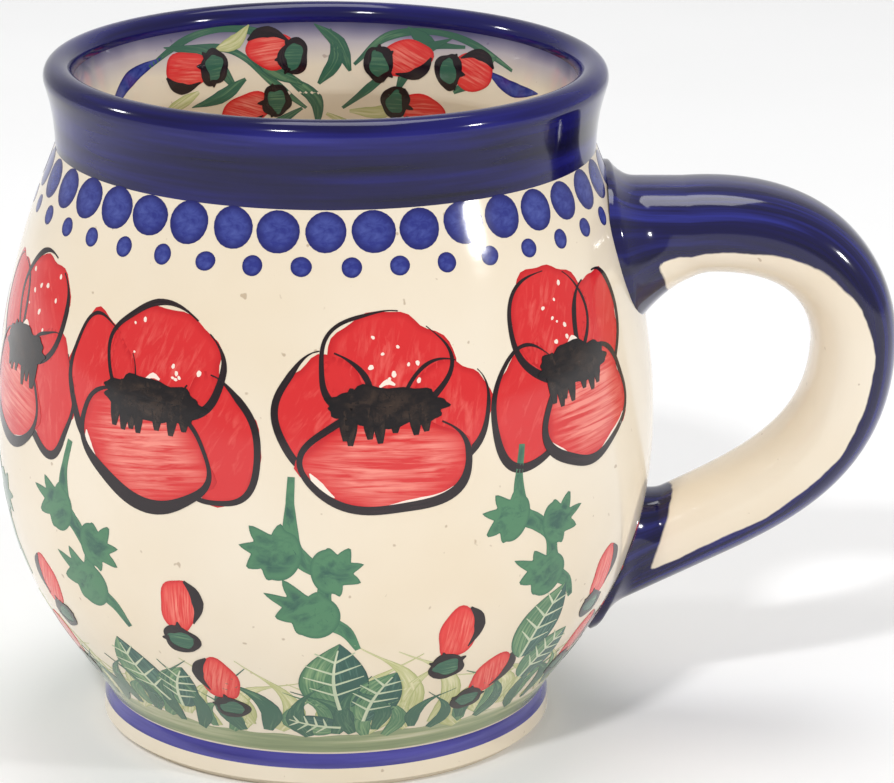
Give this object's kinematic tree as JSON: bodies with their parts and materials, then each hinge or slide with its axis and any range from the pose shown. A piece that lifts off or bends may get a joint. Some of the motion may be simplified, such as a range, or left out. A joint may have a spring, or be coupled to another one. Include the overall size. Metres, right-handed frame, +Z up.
{
  "type": "stoneware mug",
  "caption": "Round-bellied glazed stoneware mug with a waisted collar, a low foot ring and one large pulled loop handle, for hot drinks.",
  "frame": {"origin": "centre of the foot ring, in the plane that the mug stands on", "axes": "+Z up along the mug's own axis, +X from the axis towards the handle, +Y completes a right-handed frame"},
  "size_m": [0.1322, 0.0966, 0.1],
  "materials": {
    "stoneware_clay": "bare high-fired clay, matt and slightly rough",
    "cream_glaze": "clear gloss glaze over warm cream clay, hand painted",
    "cobalt_glaze": "clear gloss glaze over brushed dark cobalt blue"
  },
  "bodies": {
    "root": {"body": "stoneware_clay", "handle": "stoneware_clay", "upper_joint": "cobalt_glaze", "lower_joint": "cobalt_glaze", "collar_glaze": "cobalt_glaze", "belly_glaze": "cream_glaze", "foot_band_glaze": "cobalt_glaze", "foot_glaze": "cream_glaze", "liner_glaze": "cream_glaze", "base_glaze": "cream_glaze", "handle_back_glaze": "cobalt_glaze", "handle_grip_glaze": "cream_glaze"}
  },
  "joints": []
}
